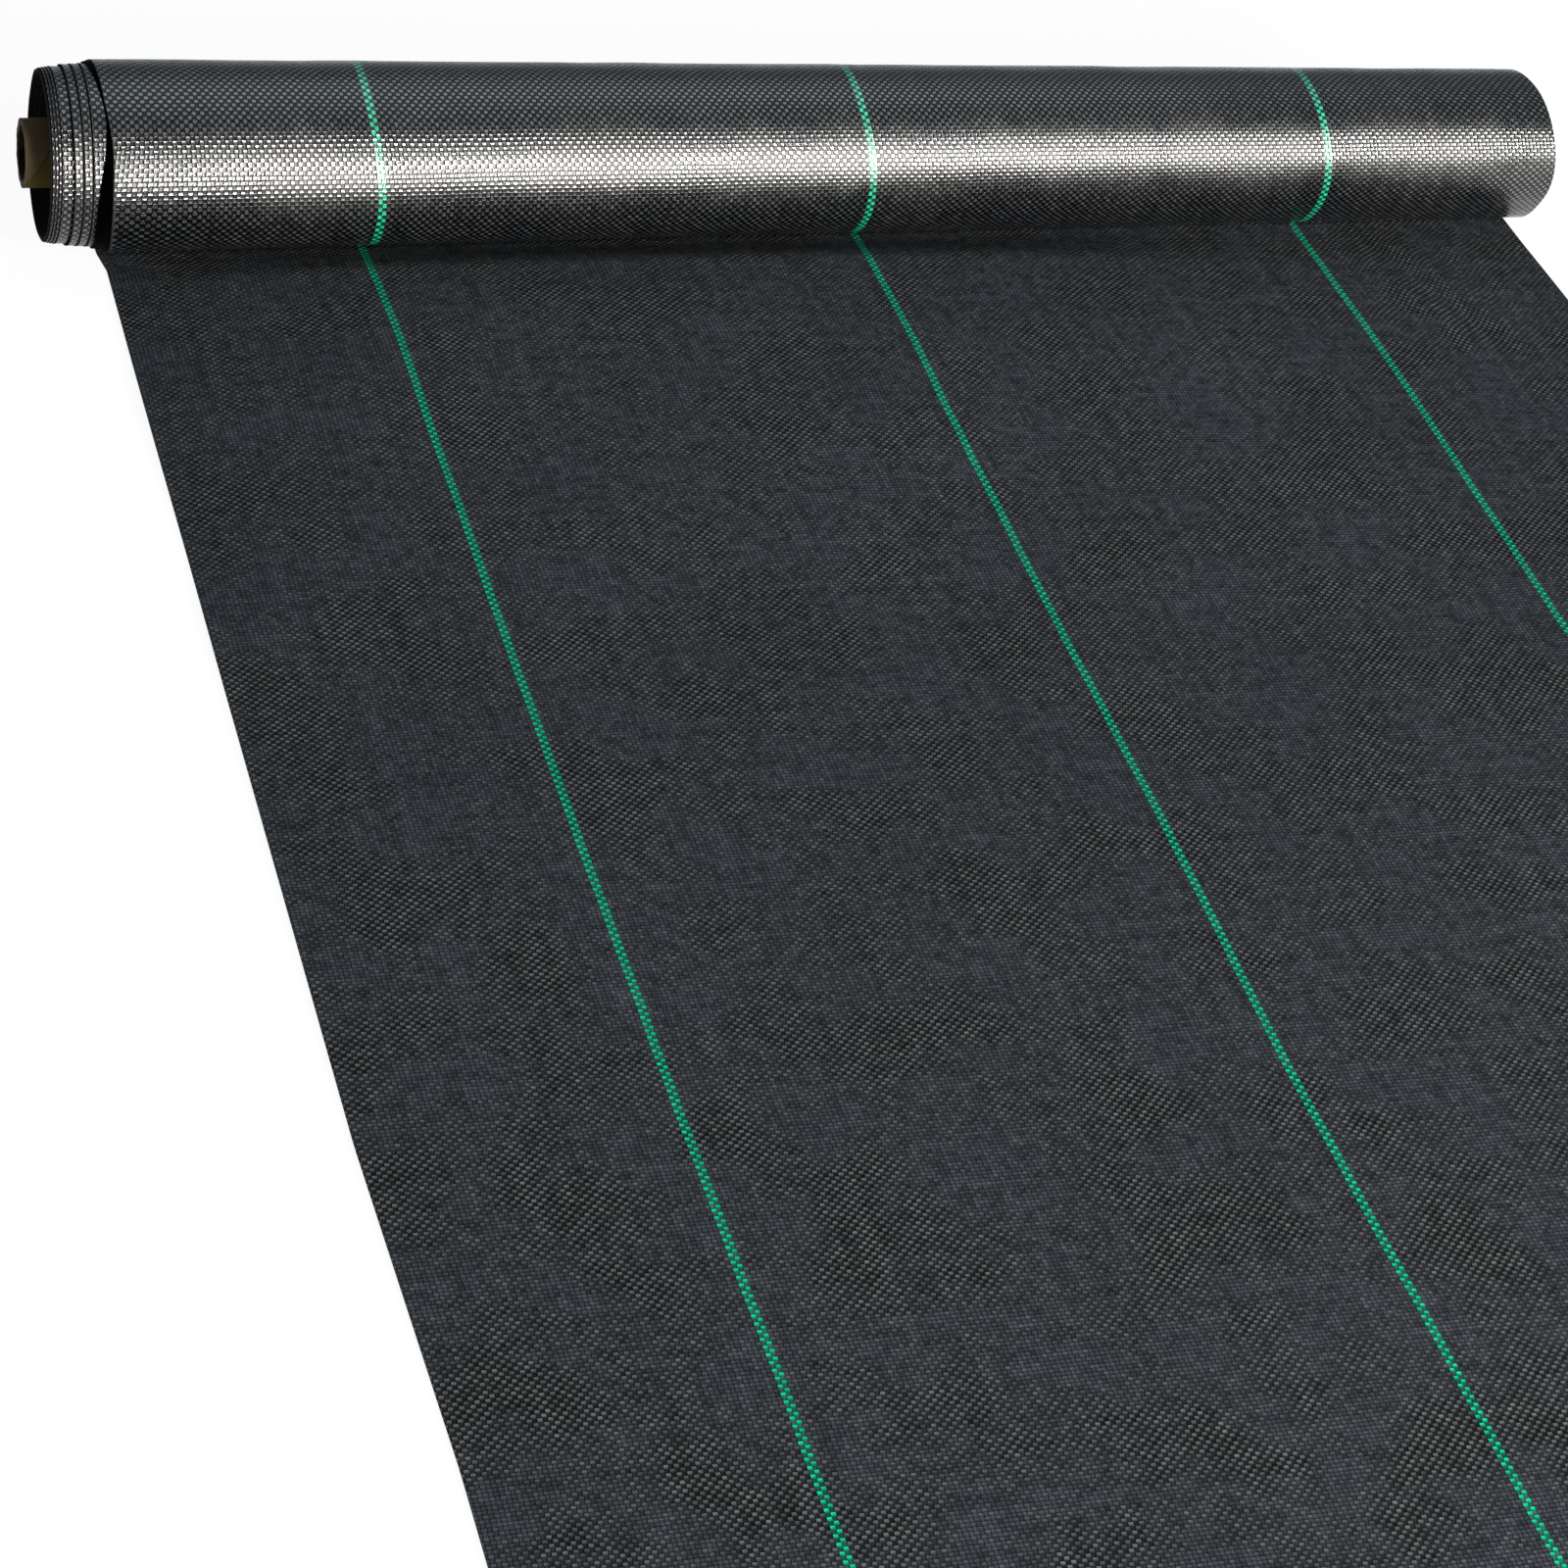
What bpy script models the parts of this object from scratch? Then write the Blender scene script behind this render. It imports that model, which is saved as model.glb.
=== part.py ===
"""Roll of woven ground-cover geotextile, partly unrolled on the ground.

Units are metres, +Z is up. The origin is on the ground, at mid-width,
straight under the axis of the roll. The roll lies along X and the fabric
that has come off it lies towards -Y.

The fabric is one black woven sheet with three green marker lines. It is
built as bands across its width, the black panels and the marker tapes, and
each band as the stretches that move differently: the laid stretch, the
stretch that leaves the roll, the loose outer turns and the tight windings.
"""
import math

import bmesh
import bpy
import numpy as np

# Fabric
FABRIC_WIDTH = 0.9144
FABRIC_THICKNESS = 0.0005
MARKER_SPACING = 0.3048
MARKER_WIDTH = 0.0048
PIECE_GAP = 0.0003

# Roll
ROLL_RADIUS = 0.0515
WOUND_TURNS = 4
TURN_GAP = 0.0005
FIRST_TURN_DRIFT = 0.0120
TURN_DRIFT = 0.0054
DRIFT_RAMP_SHARE = 0.5
FACETS = 24

# Stepped rim and held-back middle of the tight inner windings
END_STEPS = 4
END_STEP_DRIFT = 0.0018
RIM_THICKNESS = 0.002
DISH_DEPTH = 0.010

# Cardboard core
CORE_RADIUS = 0.0202
CORE_WALL = 0.004
CORE_LENGTH = 0.9398
CORE_STICKOUT = 0.0105
PLY_THICKNESS = 0.0006
PLY_LEAD = 0.073
PLY_SEAM = 0.0006
PLY_TIP = 0.002
PLY_SEAM_ANGLE = math.radians(251.7)

# Fabric on the ground
LAID_END = 1.2
LEAVING_LENGTH = 0.45
UNDER_ROLL = 0.006
SWELL_START = 0.015
SWELL_RISEN = 0.065
SWELL_FALLS = 0.12
SWELL_HEIGHT = 0.013
SWELL_CENTRE = -0.08
RISE_CELLS = 6
CREST_CELLS = 2
FALL_CELLS = 10
CELL_WIDTH = 0.04

# Worked out from the sizes above
HALF_WIDTH = FABRIC_WIDTH / 2.0
HALF_MARKER = MARKER_WIDTH / 2.0
TURN_PITCH = FABRIC_THICKNESS + TURN_GAP
AXIS_HEIGHT = ROLL_RADIUS + FABRIC_THICKNESS + PIECE_GAP
TURNS_BORE = ROLL_RADIUS - WOUND_TURNS * TURN_PITCH - FABRIC_THICKNESS
PACK_RADIUS = TURNS_BORE - PIECE_GAP
PACK_BORE = CORE_RADIUS + PIECE_GAP
PACK_SHIFT = FIRST_TURN_DRIFT + (WOUND_TURNS - 1) * TURN_DRIFT
END_SHIFT = PACK_SHIFT + END_STEPS * END_STEP_DRIFT
CORE_LEFT = -HALF_WIDTH - END_SHIFT - CORE_STICKOUT
CORE_BORE = CORE_RADIUS - CORE_WALL
CORE_BODY_RADIUS = CORE_RADIUS - PLY_THICKNESS - PIECE_GAP
FULL_TURN = 2.0 * math.pi


def clear_scene():
    """Remove every object that the file opened with."""
    for item in list(bpy.data.objects):
        bpy.data.objects.remove(item, do_unlink=True)


def make_material(name, colour, roughness):
    """Plain finish of one sub-part."""
    material = bpy.data.materials.new(name)
    material.use_nodes = True
    shader = material.node_tree.nodes["Principled BSDF"]
    shader.inputs["Base Color"].default_value = (*colour, 1.0)
    shader.inputs["Roughness"].default_value = roughness
    shader.inputs["Metallic"].default_value = 0.0
    return material


def add_empty(name, location, parent=None):
    """Empty that carries the pieces of one moving body."""
    empty = bpy.data.objects.new(name, None)
    empty.location = location
    empty.parent = parent
    bpy.context.collection.objects.link(empty)
    return empty


def add_piece(name, shape, finish, parent):
    """Turn a bmesh into a named object with its own material."""
    bmesh.ops.recalc_face_normals(shape, faces=shape.faces)
    mesh = bpy.data.meshes.new(name)
    shape.to_mesh(mesh)
    shape.free()
    mesh.shade_smooth()
    mesh.set_sharp_from_angle(angle=math.radians(30.0))
    mesh.materials.append(make_material(name, *finish))
    piece = bpy.data.objects.new(name, mesh)
    piece.parent = parent
    bpy.context.collection.objects.link(piece)
    return piece


def smooth_ramp(share):
    """0 to 1 with level ends."""
    share = min(max(share, 0.0), 1.0)
    return share * share * (3.0 - 2.0 * share)


def fabric_bands():
    """Name, low X and high X of each band across the fabric, left to right.

    The four black panels lie between the edges and the three marker lines,
    and each marker keeps the piece gap to the panels beside it.
    """
    lines = [-MARKER_SPACING, 0.0, MARKER_SPACING]
    marker_names = ["marker_left", "marker_centre", "marker_right"]
    panel_names = ["left_margin", "left_panel", "right_panel", "right_margin"]
    reach = HALF_MARKER + PIECE_GAP
    starts = [-HALF_WIDTH] + [line + reach for line in lines]
    ends = [line - reach for line in lines] + [HALF_WIDTH]
    bands = list(zip(panel_names, starts, ends))
    for name, line in zip(marker_names, lines):
        bands.append((name, line - HALF_MARKER, line + HALF_MARKER))
    return bands


def swell_crown(x):
    """Share of the swell's height across the fabric, nothing at both edges.

    It falls late and steeply to the left edge, early and softly to the right.
    """
    if x < SWELL_CENTRE:
        reach = (SWELL_CENTRE - x) / (HALF_WIDTH + SWELL_CENTRE)
        return 1.0 - min(reach, 1.0) ** 3
    reach = (x - SWELL_CENTRE) / (HALF_WIDTH - SWELL_CENTRE)
    return (1.0 - min(reach, 1.0) ** 2) ** 2


def swell_height(x, y):
    """Height of the fabric's underside where it still curls off the roll.

    It rises steeply as it comes out from under the roll, keeps its height
    for a while and runs out gently to the laid stretch.
    """
    rise = smooth_ramp((-y - SWELL_START) / (SWELL_RISEN - SWELL_START))
    fall = smooth_ramp((-y - SWELL_FALLS) / (LEAVING_LENGTH - SWELL_FALLS))
    return SWELL_HEIGHT * swell_crown(x) * rise * (1.0 - fall)


def leaving_rows():
    """Y of each row of the leaving stretch, closest where it rises."""
    far = np.linspace(-LEAVING_LENGTH, -SWELL_FALLS, FALL_CELLS + 1)
    crest = np.linspace(-SWELL_FALLS, -SWELL_RISEN, CREST_CELLS + 1)
    near = np.linspace(-SWELL_RISEN, -SWELL_START, RISE_CELLS + 1)
    return np.concatenate([far, crest[1:], near[1:], [UNDER_ROLL]])


def flat_band(x_low, x_high, y_rows, height_at):
    """Thin sheet between two X values over rows of Y, following a height rule."""
    cells_across = max(1, round((x_high - x_low) / CELL_WIDTH))
    shape = bmesh.new()
    rows = []
    for y in y_rows:
        row = [shape.verts.new((x, y, height_at(x, y)))
               for x in np.linspace(x_low, x_high, cells_across + 1)]
        rows.append(row)
    for low, high in zip(rows, rows[1:]):
        for i in range(cells_across):
            shape.faces.new((low[i], low[i + 1], high[i + 1], high[i]))
    thicken(shape, (0.0, 0.0, FABRIC_THICKNESS))
    return shape


def thicken(shape, step):
    """Extrude the whole sheet by one step, which leaves a closed solid."""
    made = bmesh.ops.extrude_face_region(shape, geom=list(shape.faces))
    new_verts = [item for item in made["geom"] if isinstance(item, bmesh.types.BMVert)]
    bmesh.ops.translate(shape, verts=new_verts, vec=step)


def turn_radius(theta):
    """Outer radius of the wound fabric, theta counted from the ground line."""
    return ROLL_RADIUS - TURN_PITCH * theta / FULL_TURN


def turn_shift(theta):
    """How far the wound fabric has crept to the left at theta.

    The outermost turn is true to the laid sheet. The turn under it creeps
    furthest as it climbs the back of the roll, and each turn under that one
    creeps a smaller drift further.
    """
    turn = int(theta / FULL_TURN + 1e-9)
    crept = smooth_ramp((theta / FULL_TURN - turn) / DRIFT_RAMP_SHARE)
    if turn == 0:
        return 0.0
    if turn == 1:
        return FIRST_TURN_DRIFT * crept
    return FIRST_TURN_DRIFT + TURN_DRIFT * (turn - 2 + crept)


def turn_angles():
    """Angles of the winding's points, from the ground line inwards."""
    return np.linspace(0.0, WOUND_TURNS * FULL_TURN, WOUND_TURNS * FACETS + 1)


def around_axis(radius, theta):
    """Y and Z of a point on the roll, theta from the bottom by the back."""
    return radius * math.sin(theta), -radius * math.cos(theta)


def wound_band(x_low, x_high):
    """One band of the fabric wound in an unbroken spiral."""
    shape = bmesh.new()
    outer, inner = [], []
    for theta in turn_angles():
        x = x_low - turn_shift(theta)
        radius = turn_radius(theta)
        outer.append(shape.verts.new((x, *around_axis(radius, theta))))
        inner.append(shape.verts.new((x, *around_axis(radius - FABRIC_THICKNESS, theta))))
    for i in range(len(outer) - 1):
        shape.faces.new((outer[i], outer[i + 1], inner[i + 1], inner[i]))
    thicken(shape, (x_high - x_low, 0.0, 0.0))
    return shape


def spun_ring(profile):
    """Closed profile of X and radius turned about the roll's axis."""
    shape = bmesh.new()
    verts = [shape.verts.new((x, 0.0, -radius)) for x, radius in profile]
    edges = [shape.edges.new(pair) for pair in zip(verts, verts[1:] + verts[:1])]
    bmesh.ops.spin(shape, geom=verts + edges, cent=(0.0, 0.0, 0.0), axis=(1.0, 0.0, 0.0),
                   angle=FULL_TURN, steps=FACETS, use_merge=True)
    bmesh.ops.remove_doubles(shape, verts=shape.verts, dist=PIECE_GAP / 10.0)
    return shape


def pack_profile(x_low, x_high):
    """Profile of one band of the tight windings, X and radius.

    At the fabric's two edges each layer has crept further left than the one
    over it, so the left end steps out and the right end steps in. The layers
    inside that rim are held back, so they are sunk at the left end and stand
    out at the right end.
    """
    left = x_low - PACK_SHIFT
    right = x_high - PACK_SHIFT
    steps = [(PACK_RADIUS - i * FABRIC_THICKNESS, i * END_STEP_DRIFT)
             for i in range(END_STEPS + 1)]
    rim = steps[-1][1]
    held = rim - DISH_DEPTH
    dish_radius = steps[-1][0] - RIM_THICKNESS
    profile = [(left, PACK_RADIUS), (right, PACK_RADIUS)]
    if x_high == HALF_WIDTH:
        for (_, crept_over), (radius, crept) in zip(steps, steps[1:]):
            profile += [(right - crept_over, radius), (right - crept, radius)]
        profile += [(right - rim, dish_radius), (right - held, dish_radius)]
    profile.append((profile[-1][0], PACK_BORE))
    if x_low == -HALF_WIDTH:
        profile += [(left - held, PACK_BORE), (left - held, dish_radius),
                    (left - rim, dish_radius)]
        for (_, crept_over), (radius, crept) in reversed(list(zip(steps, steps[1:]))):
            profile += [(left - crept, radius), (left - crept_over, radius)]
    else:
        profile.append((left, PACK_BORE))
    return profile


def core_profile():
    """Profile of the cardboard tube under its outer ply."""
    right = CORE_LEFT + CORE_LENGTH
    return [(CORE_LEFT, CORE_BORE), (CORE_LEFT, CORE_BODY_RADIUS),
            (right, CORE_BODY_RADIUS), (right, CORE_BORE)]


def ply_edges():
    """Angle, low X and high X of the outer ply's strip at each facet line.

    The strip winds from the right end to the left one, and its low edge
    passes the mouth of the windings at the seam angle. Both edges stop at
    the tube's ends, where the strip is cut square.
    """
    right = CORE_LEFT + CORE_LENGTH
    mouth = -HALF_WIDTH - END_SHIFT
    strip = PLY_LEAD - PLY_SEAM
    first = PLY_SEAM_ANGLE - FULL_TURN * (right - PLY_TIP - mouth) / PLY_LEAD
    last = PLY_SEAM_ANGLE + FULL_TURN * (mouth - CORE_LEFT - PLY_TIP + strip) / PLY_LEAD
    facet = FULL_TURN / FACETS
    edges = []
    for k in range(math.ceil(first / facet), math.floor(last / facet) + 1):
        low = mouth - PLY_LEAD * (k * facet - PLY_SEAM_ANGLE) / FULL_TURN
        edges.append((k * facet, max(low, CORE_LEFT), min(low + strip, right)))
    return edges


def wound_ply():
    """The outer ply as one unbroken strip wound in a helix, edge to edge."""
    shape = bmesh.new()
    inner_radius = CORE_RADIUS - PLY_THICKNESS
    rows = []
    for theta, low, high in ply_edges():
        row = [shape.verts.new((x, *around_axis(radius, theta)))
               for radius, x in ((CORE_RADIUS, low), (CORE_RADIUS, high),
                                 (inner_radius, high), (inner_radius, low))]
        rows.append(row)
    for one, other in zip(rows, rows[1:]):
        for i in range(4):
            j = (i + 1) % 4
            shape.faces.new((one[i], one[j], other[j], other[i]))
    shape.faces.new(rows[0])
    shape.faces.new(rows[-1])
    return shape


def least_distance(points, others):
    """Shortest distance between two sets of points."""
    steps = points[:, None, :] - others[None, :, :]
    return float(np.sqrt((steps ** 2).sum(axis=2)).min())


def points_along(line, per_piece=30):
    """Points along each straight piece of a line of corners."""
    line = np.asarray(line)
    shares = np.linspace(0.0, 1.0, per_piece, endpoint=False)[None, :, None]
    return (line[:-1, None] * (1.0 - shares) + line[1:, None] * shares).reshape(-1, line.shape[1])


def measure_turns():
    """Least gap between each wound turn and the next one inside it."""
    outer = [around_axis(turn_radius(a), a) for a in turn_angles()]
    inner = [around_axis(turn_radius(a) - FABRIC_THICKNESS, a) for a in turn_angles()]
    gaps = []
    for turn in range(1, WOUND_TURNS):
        over = points_along(inner[(turn - 1) * FACETS:turn * FACETS + 1])
        under = points_along(outer[turn * FACETS:(turn + 1) * FACETS + 1])
        gaps.append(least_distance(over, under))
    return min(gaps)


def measure_ply():
    """Least gap across the seam between neighbouring turns of the ply."""
    low_edge = [(low, *around_axis(CORE_RADIUS, a)) for a, low, high in ply_edges()]
    high_edge = [(high, *around_axis(CORE_RADIUS, a)) for a, low, high in ply_edges()]
    gaps = []
    for start in range(FACETS, len(low_edge) - 2 * FACETS, FACETS):
        before = points_along(low_edge[start:start + FACETS + 1])
        after = points_along(high_edge[start + FACETS:start + 2 * FACETS + 1])
        gaps.append(least_distance(before, after))
    return min(gaps)


BLACK_FABRIC = ((0.020, 0.021, 0.024), 0.45)
MARKER_GREEN = ((0.015, 0.330, 0.165), 0.45)
WOUND_BLACK = ((0.012, 0.012, 0.013), 0.60)
CARDBOARD = ((0.330, 0.235, 0.130), 0.85)
PLY_PAPER = ((0.400, 0.290, 0.165), 0.80)


def band_finish(name):
    """Finish of a band: green on the markers, black on the panels."""
    return MARKER_GREEN if name.startswith("marker") else BLACK_FABRIC


def build_laid_fabric(parent):
    """Flat fabric on the ground, from the cut end to the leaving stretch."""
    rows = [-LAID_END, -LEAVING_LENGTH - PIECE_GAP]
    for name, low, high in fabric_bands():
        shape = flat_band(low, high, rows, lambda x, y: 0.0)
        add_piece("laid_" + name, shape, band_finish(name), parent)


def build_leaving_fabric(parent):
    """Fabric from under the roll out over its low swell."""
    for name, low, high in fabric_bands():
        shape = flat_band(low, high, leaving_rows(), swell_height)
        add_piece("leaving_" + name, shape, band_finish(name), parent)


def build_outer_turns(parent):
    """The loose outer turns, a true spiral in each band."""
    for name, low, high in fabric_bands():
        add_piece("turns_" + name, wound_band(low, high), band_finish(name), parent)


def build_tight_windings(parent):
    """The turns under the loose ones, as one thick ring in each band."""
    for name, low, high in fabric_bands():
        finish = MARKER_GREEN if name.startswith("marker") else WOUND_BLACK
        add_piece("windings_" + name, spun_ring(pack_profile(low, high)), finish, parent)


def build_part():
    """Every piece on the body that carries it."""
    clear_scene()
    ground = add_empty("ground_line", (0.0, 0.0, 0.0))
    carriage = add_empty("leaving_line", (0.0, 0.0, 0.0), ground)
    roll_axis = add_empty("roll_axis", (0.0, 0.0, AXIS_HEIGHT), carriage)
    windings_axis = add_empty("windings_axis", (0.0, 0.0, 0.0), roll_axis)
    core_axis = add_empty("core_axis", (0.0, 0.0, 0.0), windings_axis)
    build_laid_fabric(ground)
    build_leaving_fabric(carriage)
    build_outer_turns(roll_axis)
    build_tight_windings(windings_axis)
    add_piece("core_tube", spun_ring(core_profile()), CARDBOARD, core_axis)
    add_piece("core_outer_ply", wound_ply(), PLY_PAPER, core_axis)
    print("least gap between wound turns, mm:", round(measure_turns() * 1000.0, 3))
    print("least gap across the ply's seam, mm:", round(measure_ply() * 1000.0, 3))


build_part()
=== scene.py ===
"""Dressed model of a part-unrolled roll of woven geotextile, laid out as an add-on.

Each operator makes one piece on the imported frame, and a last one sets out the
floor, the lamps and the camera. Lengths are in metres. The roll lies along X
and the cloth on the ground runs from it towards -Y.
"""
import math

import bpy
import numpy as np
from bpy.props import FloatProperty, FloatVectorProperty, IntProperty, PointerProperty
from mathutils import Matrix, Vector


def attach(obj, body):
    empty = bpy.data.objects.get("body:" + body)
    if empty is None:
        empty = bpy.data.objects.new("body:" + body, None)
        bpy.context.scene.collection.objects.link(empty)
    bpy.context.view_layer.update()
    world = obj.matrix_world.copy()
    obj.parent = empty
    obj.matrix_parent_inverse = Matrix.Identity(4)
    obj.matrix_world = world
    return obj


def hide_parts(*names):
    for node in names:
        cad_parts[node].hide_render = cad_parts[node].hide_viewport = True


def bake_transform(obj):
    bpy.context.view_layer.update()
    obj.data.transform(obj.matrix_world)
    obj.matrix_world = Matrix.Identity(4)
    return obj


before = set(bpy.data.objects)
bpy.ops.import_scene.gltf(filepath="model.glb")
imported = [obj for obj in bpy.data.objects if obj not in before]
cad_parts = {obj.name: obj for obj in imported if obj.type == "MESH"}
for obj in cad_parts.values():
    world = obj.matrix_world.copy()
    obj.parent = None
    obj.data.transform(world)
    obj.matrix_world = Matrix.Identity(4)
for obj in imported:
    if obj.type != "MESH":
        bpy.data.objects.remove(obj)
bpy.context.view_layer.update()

bl_info = {
    "name": "Geotextile roll",
    "version": (1, 0, 0),
    "blender": (4, 5, 0),
    "location": "3D View > Sidebar > Geotextile",
    "description": "Makes a part-unrolled roll of woven geotextile on its core",
    "category": "Add Mesh",
}

FULL_TURN = 2.0 * math.pi
BANDS = ("left_margin", "left_panel", "right_panel", "right_margin",
         "marker_left", "marker_centre", "marker_right")


# --- settings

def length_setting(name, description, default):
    """A length in metres that a user may change."""
    return FloatProperty(name=name, description=description, default=default, min=0.0,
                         unit="LENGTH", precision=5)


def colour_setting(name, description, default):
    """A colour, as a share of the light that it sends back."""
    return FloatVectorProperty(name=name, description=description, default=default,
                               size=3, min=0.0, max=1.0, subtype="COLOR")


def count_setting(name, description):
    """A number of turns."""
    return IntProperty(name=name, description=description, default=4, min=1, max=8)


def level_setting(name, description, default):
    """Radiance of a lamp or of the surroundings."""
    return FloatProperty(name=name, description=description, default=default, min=0.0)


class ClothSizes(bpy.types.PropertyGroup):
    """Sizes of the woven cloth and of how it lies on the ground."""
    width: length_setting("Width", "Width of the cloth from edge to edge", 0.9144)
    thickness: length_setting("Thickness", "Thickness of the cloth", 0.00045)
    tape_pitch: length_setting("Tape pitch", "From one woven tape to the next", 0.0024)
    laid_length: length_setting("Laid length", "From the roll's axis to the cut end", 1.2)
    under_roll: length_setting("Under the roll", "Reach of the cloth past the axis", 0.006)
    swell_height: length_setting("Swell", "Height of the cloth's curl at the roll", 0.013)


class RollSizes(bpy.types.PropertyGroup):
    """Sizes of the wound cloth."""
    radius: length_setting("Radius", "Outer radius of the roll at mid-width", 0.0515)
    axis_height: length_setting("Axis height", "Height of the roll's axis", 0.0523)
    loose_turns: count_setting("Loose turns", "Turns that have come loose")
    first_creep: length_setting("First creep", "Shift of the turn under the outer one", 0.0120)
    turn_creep: length_setting("Turn creep", "Further shift of each loose turn", 0.0054)
    first_drop: length_setting("First drop", "Radius lost over the outermost turn", 0.0008)
    turn_pitch: length_setting("Turn pitch", "From one loose turn to the next", 0.00036)
    crept_turns: count_setting("Crept turns", "Stepped turns of the tight roll")
    layer_creep: length_setting("Layer creep", "Shift of each stepped turn", 0.0018)
    layer_pitch: length_setting("Layer pitch", "From one wound layer to the next", 0.0005)
    dish: length_setting("Dish", "How far the inner layers are held back", 0.010)
    end_flare: FloatProperty(name="End flare", default=0.0125, min=0.0, max=0.05,
                             description="Radius gained per metre towards the left end")


class CoreSizes(bpy.types.PropertyGroup):
    """Sizes of the cardboard core."""
    radius: length_setting("Radius", "Outer radius of the core", 0.0202)
    wall: length_setting("Wall", "Thickness of the core's wall", 0.004)
    length: length_setting("Length", "Length of the core", 0.9398)
    stickout: length_setting("Stick-out", "Reach of the core past the windings", 0.0105)
    ply_thickness: length_setting("Ply", "Thickness of the outer ply", 0.0006)
    ply_lead: length_setting("Ply lead", "Advance of the ply in one turn", 0.073)


class Finishes(bpy.types.PropertyGroup):
    """Colours of the cloth, the core and the floor."""
    tape_blue: colour_setting("Bluish tape", "Tapes that look bluish", (0.032, 0.036, 0.042))
    tape_brown: colour_setting("Brownish tape", "Tapes that look brown", (0.035, 0.037, 0.039))
    marker_green: colour_setting("Marker green", "Tapes of the marker lines", (0.011, 0.50, 0.28))
    # painted shade: far darker than the tapes, for the shade on the wound end faces
    wound_edge: colour_setting("Wound edge", "Cut edges of the layers", (0.004, 0.004, 0.004))
    cardboard: colour_setting("Cardboard", "Raw board of the tube", (0.028, 0.026, 0.006))
    ply_light: colour_setting("Ply, light edge", "Outer ply beside its seam", (0.080, 0.055, 0.028))
    ply_dark: colour_setting("Ply, dark edge", "Outer ply across the seam", (0.062, 0.045, 0.006))
    floor: colour_setting("Floor", "Plain pale floor", (0.90, 0.90, 0.90))


class StudioLight(bpy.types.PropertyGroup):
    """Levels of the lamps and the world."""
    strip: level_setting("Front lamps", "Radiance of the lamps in front", 170.0)
    overhead: level_setting("Overhead", "Radiance of the soft lamp above", 0.85)
    world: level_setting("World", "Radiance of the surroundings", 0.30)


def sizes_in_use(context):
    """Settings of the cloth, of the roll and of the core."""
    scene = context.scene
    return scene.geotextile_cloth, scene.geotextile_roll, scene.geotextile_core


# --- mesh helpers

def ramp(value, low, high):
    """0 below low, 1 above high, and a smooth cubic between them."""
    share = np.clip((np.asarray(value, float) - low) / (high - low), 0.0, 1.0)
    return share * share * (3.0 - 2.0 * share)


def places(start, *stops):
    """Numbers from a start over several stops, each an end and a count from the last."""
    parts = [np.array([start])]
    for stop, count in stops:
        parts.append(np.linspace(parts[-1][-1], stop, count)[1:])
    return np.concatenate(parts)


def angles_round(steps):
    """Even angles round a full turn, as a row."""
    return np.linspace(0.0, FULL_TURN, steps, endpoint=False)[None, :]


def quads_of(rows, columns, corner):
    """Corners of each quad on a grid of points, given how a point is numbered."""
    i, j = np.meshgrid(np.arange(rows - 1), np.arange(columns - 1), indexing="ij")
    return np.stack([corner(i, j), corner(i + 1, j), corner(i + 1, j + 1), corner(i, j + 1)],
                    axis=-1).reshape(-1, 4)


def fill_mesh(name, points, quads, uv_name, uvs, masks=None):
    """Object of quads, with one UV value per quad corner and masks per point."""
    mesh = bpy.data.meshes.new(name)
    mesh.vertices.add(len(points))
    mesh.vertices.foreach_set("co", points.astype(np.float32).ravel())
    mesh.loops.add(quads.size)
    mesh.loops.foreach_set("vertex_index", quads.astype(np.int32).ravel())
    mesh.polygons.add(len(quads))
    mesh.polygons.foreach_set("loop_start", np.arange(0, quads.size, 4, dtype=np.int32))
    mesh.polygons.foreach_set("use_smooth", np.ones(len(quads), dtype=bool))
    mesh.update(calc_edges=True)
    mesh.uv_layers.new(name=uv_name).data.foreach_set("uv", uvs.astype(np.float32).ravel())
    for mask_name, values in (masks or {}).items():
        layer = mesh.attributes.new(mask_name, "FLOAT", "POINT")
        layer.data.foreach_set("value", values.astype(np.float32).ravel())
    mesh.validate()
    mesh.set_sharp_from_angle(angle=math.radians(50.0))
    piece = bpy.data.objects.new(name, mesh)
    bpy.context.scene.collection.objects.link(piece)
    return piece


def closed_cloth(name, under, over, across, along, material, masks=None):
    """Thin closed sheet between two grids of points, rows by columns by 3.

    Rows step along the cloth and columns across it, and a step along crossed
    with one across points from under to over. A strip closes each edge. The
    flip leaves the faces pointing inwards.
    """
    rows, columns = under.shape[:2]
    count = rows * columns
    points = np.concatenate([under.reshape(-1, 3), over.reshape(-1, 3)])
    top = quads_of(rows, columns, lambda i, j: count + i * columns + j)
    bottom = quads_of(rows, columns, lambda i, j: i * columns + j)[:, ::-1]
    i, j = np.arange(rows - 1), np.arange(columns - 1)
    left = np.stack([i * columns, (i + 1) * columns], axis=-1)
    right = left[:, ::-1] + columns - 1
    start = np.stack([j + 1, j], axis=-1)
    end = start[:, ::-1] + (rows - 1) * columns
    rim = np.concatenate([left, right, start, end])
    rim = np.concatenate([rim, rim[:, ::-1] + count], axis=1)
    quads = np.concatenate([top, bottom, rim])
    uv = np.stack([across, along], axis=-1).reshape(-1, 2)
    masks = {key: np.tile(value.ravel(), 2) for key, value in (masks or {}).items()}
    piece = fill_mesh(name, points, quads, "cloth", np.tile(uv, (2, 1))[quads], masks)
    piece.data.flip_normals()
    piece.data.materials.append(material)
    return piece


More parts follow.
